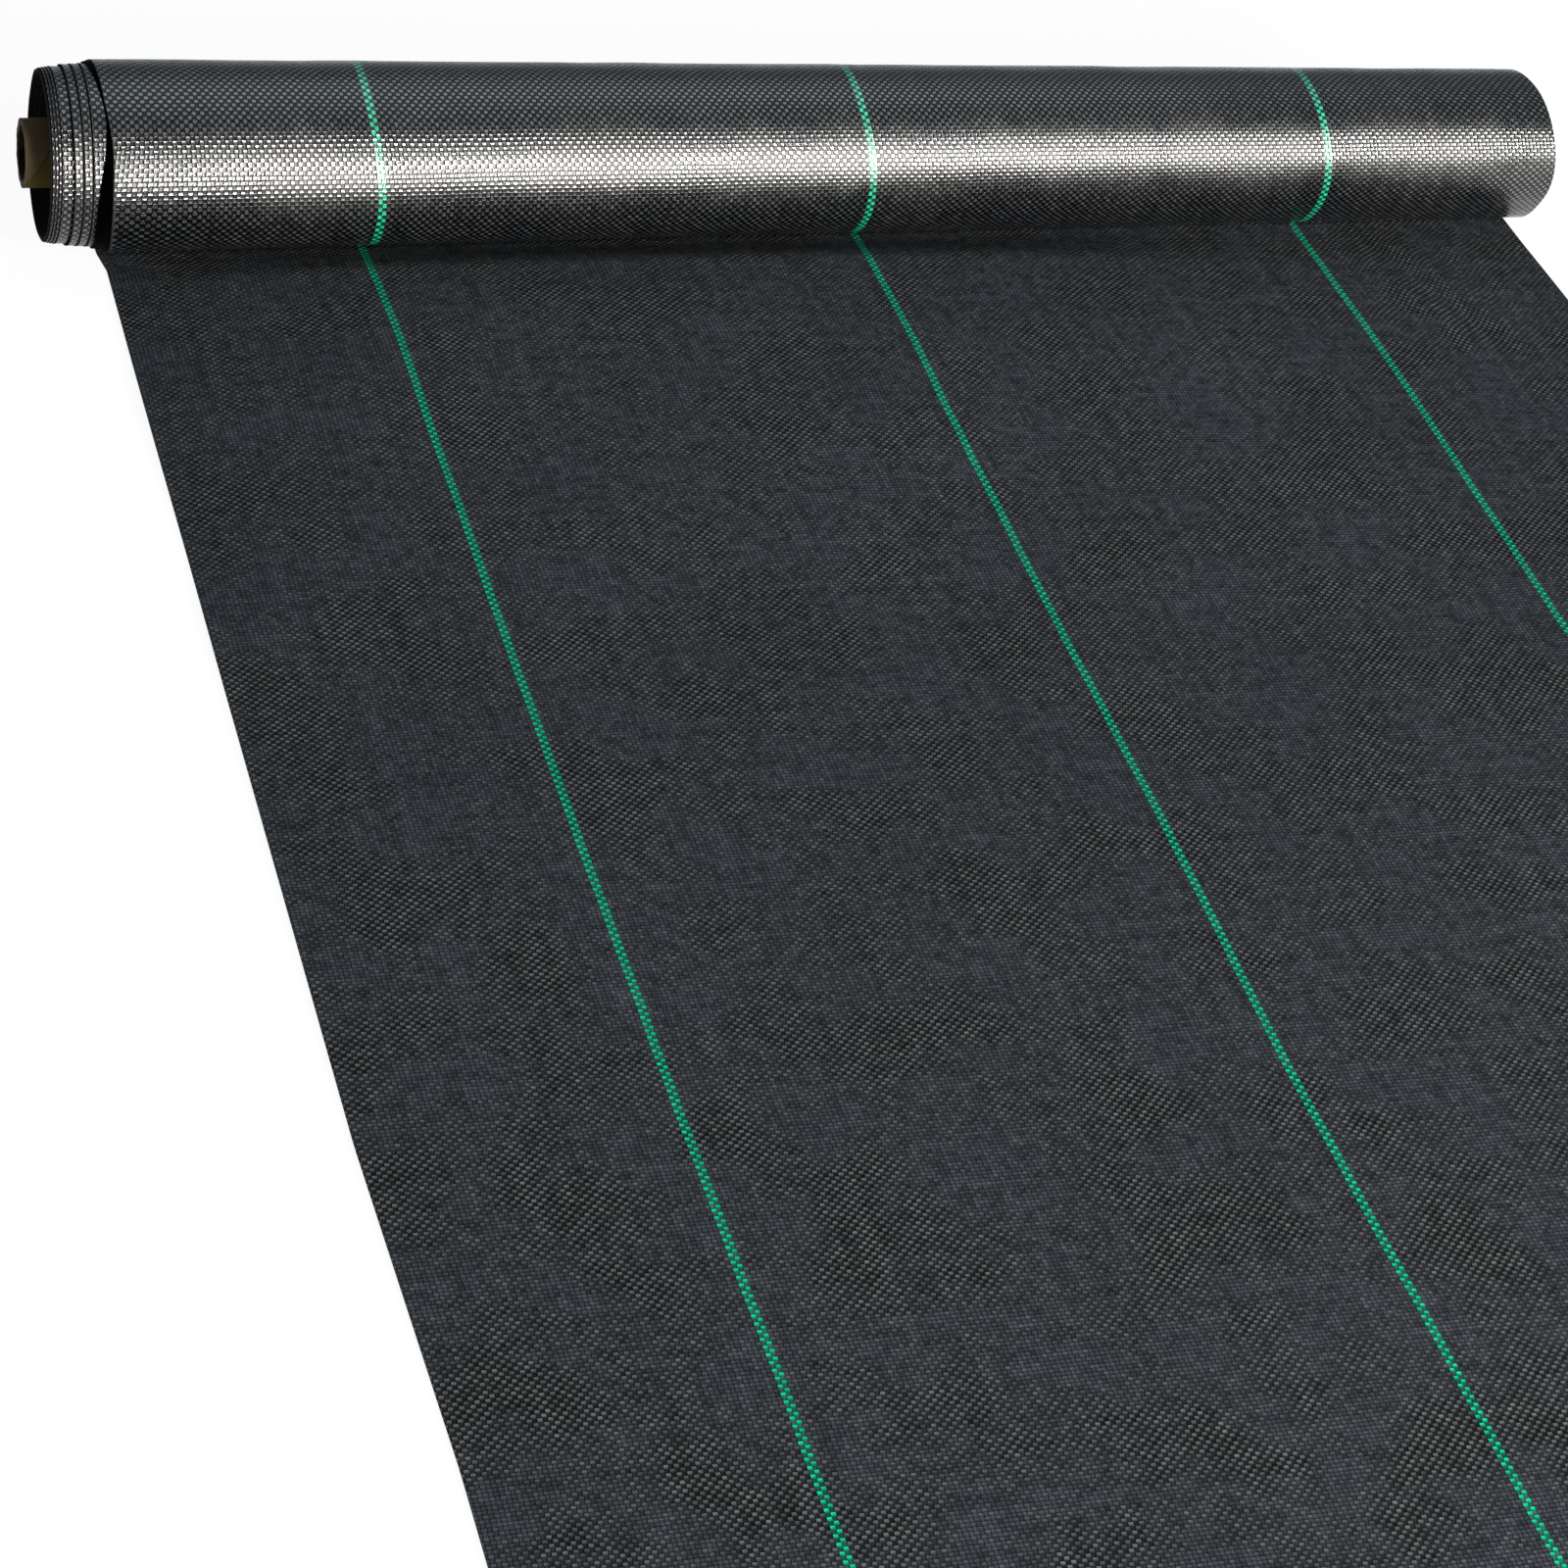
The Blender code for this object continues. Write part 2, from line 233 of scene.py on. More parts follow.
def turned_shell(name, x, radius, uv_name, along, height):
    """Closed shell from a loop of profile points carried round the roll's axis.

    x and radius are profile points by angles, and a point at angle a from the
    bottom by the back lies at (x, radius sin a, height - radius cos a). The UV
    is the value along the profile and the share of a turn. The faces point
    inwards.
    """
    count, steps = x.shape
    theta = angles_round(steps)
    points = np.stack([x, radius * np.sin(theta), height - radius * np.cos(theta)],
                      axis=-1).reshape(-1, 3)
    quads = quads_of(count + 1, steps + 1, lambda i, j: (i % count) * steps + j % steps)
    i, j = np.meshgrid(np.arange(count), np.arange(steps), indexing="ij")
    first, second = along[i], np.roll(along, -1)[i]
    share, after = j / steps, (j + 1) / steps
    uvs = np.stack([np.stack([first, share], -1), np.stack([second, share], -1),
                    np.stack([second, after], -1), np.stack([first, after], -1)], axis=2)
    return fill_mesh(name, points, quads, uv_name, uvs.reshape(-1, 2))


def ripple(x, y, waves):
    """Sum of sines, each with its size, its two waves per metre and its phase."""
    total = np.zeros(np.broadcast(x, y).shape)
    for size, per_x, per_y, phase in waves:
        total += size * np.sin(FULL_TURN * (per_x * x + per_y * y) + phase)
    return total


# --- cloth on the ground

# How far each line lies to the right of its straight course on the ground, in
# mm, as it looks from the front left: left edge, three markers, right edge.
LINE_COURSES = (-0.4572, -0.3048, 0.0, 0.3048, 0.4572)
COURSE_Y = (-1.15, -1.0, -0.8, -0.6, -0.45, -0.33, -0.22, -0.15, -0.09, -0.04, -0.02)
COURSE_OFFSETS = (
    (3.0, 3.0, -2.2, -1.8, -1.5, -1.0, -0.9, -0.7, -0.3, 0.0, -3.2),
    (-2.0, -1.0, -1.1, 0.1, 0.9, 2.9, 3.7, 5.4, 5.8, 4.1, 3.5),
    (-0.8, -0.8, -1.8, 3.1, 4.2, 6.4, 8.8, 11.6, 12.2, 12.1, 10.7),
    (0.0, 0.0, 0.0, -1.5, -3.4, 0.2, 3.0, 4.6, 4.2, 4.0, 3.9),
    (0.0, 0.0, 0.0, 0.0, 0.4, 1.6, 3.0, 3.8, 3.2, 2.4, 2.5),
)
VIEWED_FROM = (-0.8294, -2.1673, 1.283)


def swell_crown(x, half_width):
    """One less the cube of the reach to the left of the crown's centre, and to
    the right of it the square of one less the reach's square."""
    centre = -0.08
    left = np.clip((centre - x) / (half_width + centre), 0.0, 1.0)
    right = np.clip((x - centre) / (half_width - centre), 0.0, 1.0)
    return np.where(x < centre, 1.0 - left ** 3, (1.0 - right ** 2) ** 2)


def lie_of_cloth(across, y, cloth):
    """Height of the cloth's underside on the ground.

    The swell rises from 15 to 65 mm in front of the axis and runs out by 450 mm.
    With it go soft ripples, short ones beside the right marker and a faint
    unevenness everywhere, none of it below the ground.
    """
    rise = ramp(-y, 0.015, 0.065)
    swell = cloth.swell_height * swell_crown(across, cloth.width / 2.0) * rise
    swell = swell * (1.0 - ramp(-y, 0.12, 0.45)) * (1.0 - 0.8 * ramp(across, 0.12, 0.32))
    beside = np.exp(-((across - 0.372) / 0.055) ** 2) * ramp(-y, 0.018, 0.05)
    beside = beside * (1.0 - ramp(-y, 0.10, 0.26))
    short = beside * (0.0013 + 0.0012 * np.sin(FULL_TURN * (across * 26.0 + y * 9.0) + 0.6))
    near = ramp(-y, 0.03, 0.12) * (1.0 - ramp(-y, 0.35, 0.8))
    soft = ripple(across, y, ((0.0005, 3.1, 2.3, 0.4), (0.0004, -2.2, 4.9, 1.9),
                              (0.0003, 6.3, -3.4, 4.0), (0.00025, 1.4, 8.8, 2.7)))
    far = ripple(across, y, ((0.0002, 1.9, 1.3, 0.9), (0.00016, -3.7, 2.6, 3.3),
                             (0.00012, 5.1, 5.9, 5.0)))
    return swell + short + near * (soft + 0.0011) + ramp(-y, 0.06, 0.3) * (far + 0.0004)


def course_offset(across, y, height):
    """Sideways shift that puts the lines on their courses once they are raised.

    A raised point looks shifted away from the viewer, so that is taken off the
    course's offset at the place on the ground that the point covers.
    """
    view_x, view_y, view_z = VIEWED_FROM
    lifted = height / (view_z - height)
    seen_y = y + (y - view_y) * lifted
    by_line = np.stack([np.interp(seen_y, COURSE_Y, row) for row in COURSE_OFFSETS]) / 1000.0
    courses = np.array(LINE_COURSES)
    place = np.clip(np.searchsorted(courses, across, side="right") - 1, 0, len(courses) - 2)
    share = (across - courses[place]) / (courses[place + 1] - courses[place])
    share = share * share * (3.0 - 2.0 * share)
    low = np.take_along_axis(by_line, place[None], 0)[0]
    high = np.take_along_axis(by_line, place[None] + 1, 0)[0]
    offset = low * (1.0 - share) + high * share
    return offset - (across - view_x) * lifted


class GEOTEXTILE_OT_ground_cloth(bpy.types.Operator):
    """Lay the cloth on the ground, from its cut end to under the roll"""
    bl_idname = "geotextile.ground_cloth"
    bl_label = "Cloth on the ground"

    def execute(self, context):
        cloth = context.scene.geotextile_cloth
        half = cloth.width / 2.0
        columns = places(-half, (-half + 0.008, 6), (0.28, 118), (half - 0.008, 60), (half, 6))
        rows = places(-cloth.laid_length, (-0.45, 64), (-0.13, 54), (cloth.under_roll, 60))
        across, y = np.meshgrid(columns, rows)
        height = lie_of_cloth(across, y, cloth)
        x = across + course_offset(across, y, height)
        cut = 1.0 - ramp(y, -cloth.laid_length, -cloth.laid_length + 0.03)
        y_cut = y + cut * 0.0012 * (1.0 + np.sin(across * 61.0) * np.cos(across * 23.0))
        under = np.stack([x, y_cut, height], axis=-1)
        over = under + np.array([0.0, 0.0, cloth.thickness])
        # a step towards +Y crossed with one towards +X points down
        piece = closed_cloth("ground_cloth", over, under, across, -y,
                             woven_material("ground_weave", context.scene))
        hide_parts(*("laid_" + band for band in BANDS),
                    *("leaving_" + band for band in BANDS))
        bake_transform(piece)
        return {"FINISHED"}


# --- wound cloth

# By the angle in degrees, in mm: how far the outer turn's left edge lies to the left
# and its right edge to the right, and the width over which the left one curls in, which also sets
# its black margin of painted shade.
EDGE_ANGLES = (0.0, 60.0, 120.0, 151.0, 176.0, 194.0, 206.0, 219.0, 239.0, 251.0, 271.0, 290.0,
               307.0, 330.0, 350.0)
EDGE_SHIFTS = (0.0, 2.0, 6.5, 8.2, 6.3, 4.4, 3.8, 2.9, 4.2, 6.6, 9.2, 9.6, 9.0, 8.0, 6.0)
RIGHT_SHIFTS = (0.0, 0.0, 0.0, 0.0, 2.5, 4.6, 4.8, 4.2, 2.9, 2.2, 1.2, 0.4, 0.0, 0.0, 0.0)
CURL_WIDTHS = (4.0, 4.0, 4.5, 4.5, 3.3, 2.2, 1.7, 2.2, 4.9, 6.4, 8.8, 9.2, 9.5, 9.0, 8.0)
CORE_RISE = 0.0040
INNERMOST = 0.0205  # radius of the innermost layer


def by_angle(theta, levels):
    """Levels in mm at the edge angles, eased between them and given in metres."""
    degrees = np.degrees(theta)
    rows = [np.interp(degrees + step, EDGE_ANGLES, levels) for step in (-6.0, 0.0, 6.0)]
    return sum(rows) / 3000.0


def layer_depth(radius, roll):
    """Share of the way from the core to the outside of the roll."""
    return np.clip((radius - INNERMOST) / (roll.radius - INNERMOST), 0.0, 1.0)


def layer_height(radius, roll):
    """Height of a layer's centre: the core has risen a little in the loose roll."""
    return roll.axis_height + CORE_RISE * (1.0 - layer_depth(radius, roll))


def roll_form(x, radius, theta, roll, outer=False, curl=0.0, tight=False):
    """Radius of a wound layer: its own plus its depth times the roll's changes.

    The upper back, top and front are fuller towards the left end. The outer
    turn is the fullest, sags on its left half and curls in at its left edge.
    The loose turns are a little uneven. The tight roll is even, has a bell at
    its left rim and is slimmer behind it, so that it can creep.
    """
    angle = np.mod(theta, FULL_TURN)
    degrees = np.degrees(angle)
    free = ramp(degrees, 112.0, 150.0) * (1.0 - ramp(degrees, 300.0, 350.0))
    flare = 0.0004 - roll.end_flare * x
    fuller = 0.5 * (flare + np.hypot(flare, 0.001))
    share = np.where(outer, 1.0, 0.74 - 0.40 * ramp(degrees, 200.0, 320.0))
    share = share - curl * 0.8 * (0.26 + 0.40 * ramp(degrees, 200.0, 320.0))
    flare = (flare - fuller + fuller * share) * free
    window = ramp(degrees, 165.0, 210.0) * (1.0 - ramp(degrees, 300.0, 345.0))
    sag = window * (1.0 - ramp(x, -0.25, 0.08)) * np.sin(2.0 * (angle - math.radians(255.0)))
    uneven = ripple(x, angle, ((0.00010, 7.0, 0.48, 0.3), (0.00008, -11.0, 0.95, 2.1),
                               (0.00007, 17.0, 0.32, 4.4), (0.00006, 23.0, -0.64, 1.2)))
    if tight:
        uneven = 0.0009 * ramp(-x, 0.485, 0.493) - 0.0006 * ramp(x, -0.484, -0.470)
    else:
        uneven = free * uneven
    change = flare - 0.0002 * free + np.where(outer, 0.0015, 0.0004) * sag + uneven
    return radius + layer_depth(radius, roll) * change


def wound_grid(columns, theta, radius, left_shift, roll, thickness, wander=None, curl=None):
    """Under and over points of a spiral of cloth, and the place across and along it.

    A point at angle a from the bottom by the back lies at (x, r sin a, h - r
    cos a), with x the place across less the left shift, plus the wander.
    """
    across, angle = np.meshgrid(columns, theta)
    radii = np.broadcast_to(radius[:, None], across.shape)
    x = across - left_shift[:, None]
    outer = curl is not None and angle < FULL_TURN
    if wander:
        x = x + wander(across, angle)
    grids = []
    for layer in (radii - thickness, radii):
        formed = roll_form(x, layer, angle, roll, outer, 0.0 if curl is None else curl,
                           tight=curl is None)
        grids.append(np.stack([x, formed * np.sin(angle),
                               layer_height(layer, roll) - formed * np.cos(angle)], axis=-1))
    steps = np.diff(theta) * (radius[1:] + radius[:-1]) / 2.0
    length = np.concatenate([[0.0], np.cumsum(steps)])
    return grids[0], grids[1], across, np.broadcast_to(length[:, None], across.shape)


# How far each line wanders to the right on the outer turn, in mm, up to the top
# of the roll and down at its front: left edge, three markers, right edge.
WANDER_START = (-1.0, -2.0, -4.0, -6.5, -4.7)
WANDER_END = (0.0, 5.0, 4.5, 3.0, 9.0)


def outer_wander(across, theta):
    """Wander of the lines on the outer turns, smooth in both directions."""
    degrees = np.degrees(theta)
    start = np.interp(across, LINE_COURSES, WANDER_START) / 1000.0
    end = np.interp(across, LINE_COURSES, WANDER_END) / 1000.0
    climbing = ramp(degrees, 60.0, 170.0)
    crossing = ramp(degrees, 178.0, 290.0)
    fading = 1.0 - ramp(degrees, 360.0, 700.0)
    return (start * climbing * (1.0 - crossing) + end * crossing) * fading


class GEOTEXTILE_OT_outer_turns(bpy.types.Operator):
    """Wind the loose outer turns, each crept further left than the one over it"""
    bl_idname = "geotextile.outer_turns"
    bl_label = "Loose outer turns"

    def execute(self, context):
        cloth, roll, _ = sizes_in_use(context)
        half = cloth.width / 2.0
        columns = places(-half, (-half + 0.014, 36), (half - 0.008, 52), (half, 5))
        theta = np.linspace(0.0, roll.loose_turns * FULL_TURN, roll.loose_turns * 100 + 1)
        turn = theta / FULL_TURN
        radius = roll.radius - np.minimum(turn, 1.0) * roll.first_drop
        radius = radius - np.maximum(turn - 1.0, 0.0) * roll.turn_pitch
        radius = radius - 0.0003 * (1.0 - ramp(theta, 0.0, math.radians(15.0)))
        whole = np.floor(turn + 1e-9)
        crept = ramp(turn - whole, 0.0, 0.5)
        creep = np.where(turn < 2.0, roll.first_creep * crept,
                         roll.first_creep + roll.turn_creep * (whole - 2.0 + crept))
        creep = np.where(turn < 1.0, 0.0, creep)

        def wander(across, angle):
            first = np.minimum(angle, FULL_TURN)
            loose = 1.0 - ramp(angle, FULL_TURN, 1.5 * FULL_TURN)
            edge, right = (by_angle(first, row) * loose for row in (EDGE_SHIFTS, RIGHT_SHIFTS))
            return (outer_wander(across, angle) - edge * ramp(-across, half - 0.05, half)
                    + right * ramp(across, half - 0.10, half))

        inside, angle = np.meshgrid(columns + half, theta)
        width = by_angle(angle, CURL_WIDTHS)
        outer = (angle < FULL_TURN) * ramp(angle, math.radians(95.0), math.radians(130.0))
        curl = outer * (1.0 - ramp(inside, 0.0, width))
        under, over, across, along = wound_grid(columns, theta, radius, creep, roll,
                                                roll.turn_pitch - 0.00004, wander, curl)
        # painted shade: black lines at the inner loose turns' edges, black on what the turn over
        # each one covers, and the outer turn's curled-in left margin painted black
        bare = np.interp(theta - FULL_TURN, theta, creep)
        painted_shade_mask = painted_edge_shade(inside, (creep - bare)[:, None], 0.0013) * (angle > 1.2 * FULL_TURN)
        painted_shade_mask = np.maximum(painted_shade_mask, outer * (1.0 - ramp(inside, width * 0.8, width * 1.05)))
        piece = closed_cloth("outer_turns_cloth", under, over, across, -along,
                             woven_material("wound_weave", context.scene), {"painted_shade": painted_shade_mask})
        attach(piece, "outer_turns")
        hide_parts(*("turns_" + band for band in BANDS))
        return {"FINISHED"}


class GEOTEXTILE_OT_crept_turns(bpy.types.Operator):
    """Wind the stepped turns on the outside of the tight roll"""
    bl_idname = "geotextile.crept_turns"
    bl_label = "Stepped tight turns"

    def execute(self, context):
        cloth, roll, _ = sizes_in_use(context)
        half = cloth.width / 2.0
        columns = places(-half, (-half + 0.0028, 12), (half - 0.03, 34), (half, 8))
        theta = np.linspace(0.0, roll.crept_turns * FULL_TURN, roll.crept_turns * 108 + 1)
        turn = theta / FULL_TURN
        outside = tight_outside(roll)
        radius = outside - turn * roll.layer_pitch
        creep = loose_shift(roll) + turn * roll.layer_creep
        thickness = roll.layer_pitch - 0.00008
        under, over, across, along = wound_grid(columns, theta, radius, creep, roll, thickness)
        # painted shade: a black line at each stepped turn's own edge and black on what the turn
        # over it covers; the outermost turn shows its whole width once the tight roll has crept out
        painted_shade_mask = painted_edge_shade(across + half, np.where(turn < 1.0, cloth.width,
                                                  roll.layer_creep)[:, None], 0.0008)
        piece = closed_cloth("crept_turns_cloth", under, over, across, -along,
                             woven_material("crept_weave", context.scene), {"painted_shade": painted_shade_mask})
        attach(piece, "tight_windings")
        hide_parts("windings_left_margin", "windings_right_margin")
        return {"FINISHED"}


def painted_edge_shade(inside, bare, width):
    """Painted shade: 1 in a thin line at a turn's own edge, and from the edge of the turn over it
    across the part of this turn that it covers.

    inside is the way in from the turn's own edge, bare how much of it shows.
    """
    own = 1.0 - ramp(inside, width * 0.3, width)
    over = 1.0 - ramp(bare - inside, 0.0, width)
    return np.maximum(own, over)


def loose_shift(roll):
    """How far the tight roll has crept to the left of the outer turn."""
    return roll.first_creep + (roll.loose_turns - 1) * roll.turn_creep


def rim_shift(roll):
    """How far the rim of the tight roll lies to the left of the outer turn."""
    return loose_shift(roll) + roll.crept_turns * roll.layer_creep


def tight_outside(roll):
    """Outer radius of the tight roll, just inside the loose turns."""
    return roll.radius - roll.first_drop - roll.loose_turns * roll.turn_pitch - 0.0003


class GEOTEXTILE_OT_tight_roll(bpy.types.Operator):
    """Make the tight roll under the stepped turns, with its layered end faces"""
    bl_idname = "geotextile.tight_roll"
    bl_label = "Tight roll"

    def execute(self, context):
        cloth, roll, core = sizes_in_use(context)
        half = cloth.width / 2.0
        outside = tight_outside(roll) - (roll.crept_turns + 0.95) * roll.layer_pitch
        bore = core.radius + 0.0003
        shift = rim_shift(roll)
        theta = angles_round(180)
        radii = np.linspace(bore, outside, 170)[:, None]
        turn = layer_turn(radii, theta, outside, roll.layer_pitch)
        step = layer_step(turn)
        held = roll.dish * (1.0 - ramp(radii, outside - 0.0045, outside - 0.0010))
        left, right = (side - shift - 0.0004 + step + held for side in (-half, half))
        middle = np.linspace(0.03, 0.97, 40)[:, None]
        body = (-half - shift) + middle * cloth.width + 0.0 * theta
        x = np.concatenate([left, body, right[::-1]])
        radius = np.concatenate([radii + 0.0 * theta, outside + 0.0 * body,
                                 radii[::-1] + 0.0 * theta])
        angle = np.broadcast_to(theta, x.shape)
        radius = roll_form(x, radius, angle, roll, tight=True)
        along = np.concatenate([radii[:, 0], np.full(40, outside), radii[::-1, 0]])
        height = layer_height(np.concatenate([radii, outside + 0.0 * middle, radii[::-1]]), roll)
        piece = turned_shell("tight_roll", x, radius, "layers", along, height)
        piece.data.materials.append(wound_edge_material(context.scene, outside))
        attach(piece, "tight_windings")
        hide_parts(*("windings_" + band for band in BANDS))
        return {"FINISHED"}


def layer_turn(radius, theta, outside, pitch):
    """How many turns in along the spiral the layer at a radius and angle lies."""
    share = theta / FULL_TURN
    return np.ceil((outside - radius) / pitch - share + 1e-9) + share


def layer_step(turn):
    """Unevenness of the wound ends, smooth along the spiral of layers."""
    return 0.00028 * (np.sin(turn * 2.17) + 0.7 * np.sin(turn * 5.3 + 1.1)
                      + 0.5 * np.sin(turn * 11.9 + 2.4)) / 2.2


# --- the core

PLY_OVERLAP = 0.0001  # clear of the tube round it, and past both its ends


def core_left(context):
    """X of the core's left end."""
    cloth, roll, core = sizes_in_use(context)
    return -cloth.width / 2.0 - rim_shift(roll) - core.stickout


def tube_profile(left, right, inner, outer, lip):
    """Loop of profile points of a tube wall with softened lips: up the left end,
    along the outside, down the right end and back along the bore."""
    body = np.linspace(left + 0.004, right - 0.004, 60)
    bore = np.linspace(right - 0.004, left + 0.004, 60)
    face = np.linspace(inner + lip, outer - lip, 6)[1:]
    back = np.linspace(outer - lip, inner + lip, 6)[1:]
    near = [(left + lip * 0.4, outer - lip * 0.2), (left + lip, outer)]
    far = [(right - lip, outer), (right - lip * 0.4, outer - lip * 0.2), (right, outer - lip)]
    return np.array([(left + lip, inner), (left, inner + lip), *((left, r) for r in face),
                     *near, *((x, outer) for x in body), *far, *((right, r) for r in back),
                     (right - lip, inner), *((x, inner) for x in bore)])


def core_shell(context, name, uv_name, profile, along, uneven, dents):
    """Tube round the core's axis from a profile.

    Both cut ends are uneven and the wall is dented, each by a function of the angle.
    """
    _, roll, core = sizes_in_use(context)
    left = core_left(context)
    theta = angles_round(120)
    x = profile[:, :1] + 0.0 * theta
    at_end = np.minimum(np.abs(x - left), np.abs(x - left - core.length)) < 0.0005
    return turned_shell(name, x + at_end * uneven(theta), profile[:, 1:] + dents(theta), uv_name,
                        along, roll.axis_height + CORE_RISE)


class GEOTEXTILE_OT_core_tube(bpy.types.Operator):
    """Make the cardboard tube under its outer ply"""
    bl_idname = "geotextile.core_tube"
    bl_label = "Cardboard tube"

    def execute(self, context):
        core = context.scene.geotextile_core
        left = core_left(context)
        outer = core.radius - core.ply_thickness - PLY_OVERLAP
        profile = tube_profile(left, left + core.length, core.radius - core.wall, outer, 0.0003)
        along = np.concatenate([[0.0], np.cumsum(np.hypot(*np.diff(profile, axis=0).T))])
        piece = core_shell(
            context, "core_tube_wall", "board", profile, along,
            lambda theta: 0.00009 * (np.sin(7 * theta + 0.6) + 0.6 * np.sin(17 * theta)),
            lambda theta: 0.00005 * np.sin(5 * theta + 1.0))
        piece.data.materials.append(cardboard_material(context.scene))
        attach(piece, "core")
        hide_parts("core_tube")
        return {"FINISHED"}


class GEOTEXTILE_OT_core_ply(bpy.types.Operator):
    """Wrap the outer paper ply round the tube in a spiral"""
    bl_idname = "geotextile.core_ply"
    bl_label = "Outer ply"

    def execute(self, context):
        core = context.scene.geotextile_core
        left = core_left(context)
        profile = tube_profile(left - PLY_OVERLAP, left + core.length + PLY_OVERLAP,
                               core.radius - core.ply_thickness, core.radius, 0.00015)
        piece = core_shell(
            context, "core_ply_wrap", "ply", profile, profile[:, 0],
            lambda theta: 0.00012 * (np.sin(9 * theta + 2.0) + 0.5 * np.sin(23 * theta)),
            lambda theta: 0.0 * theta)
        piece.data.materials.append(ply_material(context.scene, left + core.stickout))
        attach(piece, "core")
        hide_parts("core_outer_ply")
        return {"FINISHED"}


# --- materials

def put(tree, kind, sockets=None, **settings):
    """New shader node with its settings and its input values or links."""
    made = tree.nodes.new("ShaderNode" + kind)
    for key, value in settings.items():
        setattr(made, key, value)
    for key, value in (sockets or {}).items():
        if isinstance(value, bpy.types.NodeSocket):
            tree.links.new(value, made.inputs[key])
        else:
            made.inputs[key].default_value = value
    return made


def maths(tree, operation, *values, clamp=False):
    """Result of one Math node."""
    return put(tree, "Math", dict(enumerate(values)), operation=operation,
               use_clamp=clamp).outputs[0]


def smooth(tree, value, low, high, start=0.0, end=1.0):
    """Smooth step from start to end as the value goes from low to high."""
    return put(tree, "MapRange", {0: value, 1: low, 2: high, 3: start, 4: end},
               interpolation_type="SMOOTHSTEP").outputs[0]


def mixed(tree, share, one, other, mode="MIX"):
    """Colour between two colours."""
    def full(colour):
        return colour if isinstance(colour, bpy.types.NodeSocket) else (*colour, 1.0)
    return put(tree, "Mix", {0: share, 6: full(one), 7: full(other)},
               data_type="RGBA", blend_type=mode).outputs[2]


def between(tree, share, one, other):
    """Value between two values."""
    return put(tree, "Mix", {0: share, 2: one, 3: other}, data_type="FLOAT").outputs[0]


def times(tree, first, *others):
    """Product of values."""
    for value in others:
        first = maths(tree, "MULTIPLY", first, value)
    return first


def less(tree, one, other):
    """Difference of two values."""
    return maths(tree, "SUBTRACT", one, other)


def plus(tree, one, other):
    """Sum of two values."""
    return maths(tree, "ADD", one, other)


def scaled(tree, value, gain, lift):
    """A value times the gain, plus the lift."""
    return maths(tree, "MULTIPLY_ADD", value, gain, lift)


def tinted(tree, colour, level):
    """A colour times a level."""
    grey = put(tree, "CombineColor", {0: level, 1: level, 2: level}).outputs[0]
    return mixed(tree, 1.0, colour, grey, "MULTIPLY")


def noise(tree, vector, scale, detail=2.0, roughness=0.5):
    """Smooth noise, from 0 to 1."""
    return put(tree, "TexNoise", {"Vector": vector, "Scale": scale, "Detail": detail,
                                  "Roughness": roughness}).outputs[0]


def object_place(tree):
    """Object coordinates, in metres from the model's origin."""
    return put(tree, "TexCoord").outputs["Object"]


def uv_parts(tree, uv_map):
    """Both parts of a UV."""
    place = put(tree, "UVMap", uv_map=uv_map).outputs[0]
    return put(tree, "SeparateXYZ", {0: place}).outputs[:2]


def off_middle(tree, share):
    """How far a share lies from a half."""
    return maths(tree, "ABSOLUTE", less(tree, share, 0.5))


def chance(tree, *values):
    """Random value from 0 to 1 for a whole number or a pair of them."""
    sockets, kind = {"W": values[0]}, "1D"
    if len(values) == 2:
        vector = put(tree, "CombineXYZ", dict(enumerate(values))).outputs[0]
        sockets, kind = {"Vector": vector}, "2D"
    return put(tree, "TexWhiteNoise", sockets, noise_dimensions=kind).outputs["Value"]


def vectors(tree, operation, one, other):
    """Vector that comes out of one Vector Math node."""
    return put(tree, "VectorMath", {0: one, 1: other}, operation=operation).outputs[0]


def new_group(name, inputs):
    """Empty shader group with its inputs, each a name and a kind."""
    group = bpy.data.node_groups.new(name, "ShaderNodeTree")
    for label, kind in inputs:
        group.interface.new_socket(label, in_out="INPUT", socket_type="NodeSocket" + kind)
    return group, group.nodes.new("NodeGroupInput").outputs


def give_out(group, **values):
    """Outputs of a shader group, each with its value."""
    for label in values:
        group.interface.new_socket(label, in_out="OUTPUT", socket_type="NodeSocketFloat")
    end = group.nodes.new("NodeGroupOutput")
    for label, value in values.items():
        group.links.new(value, end.inputs[label])


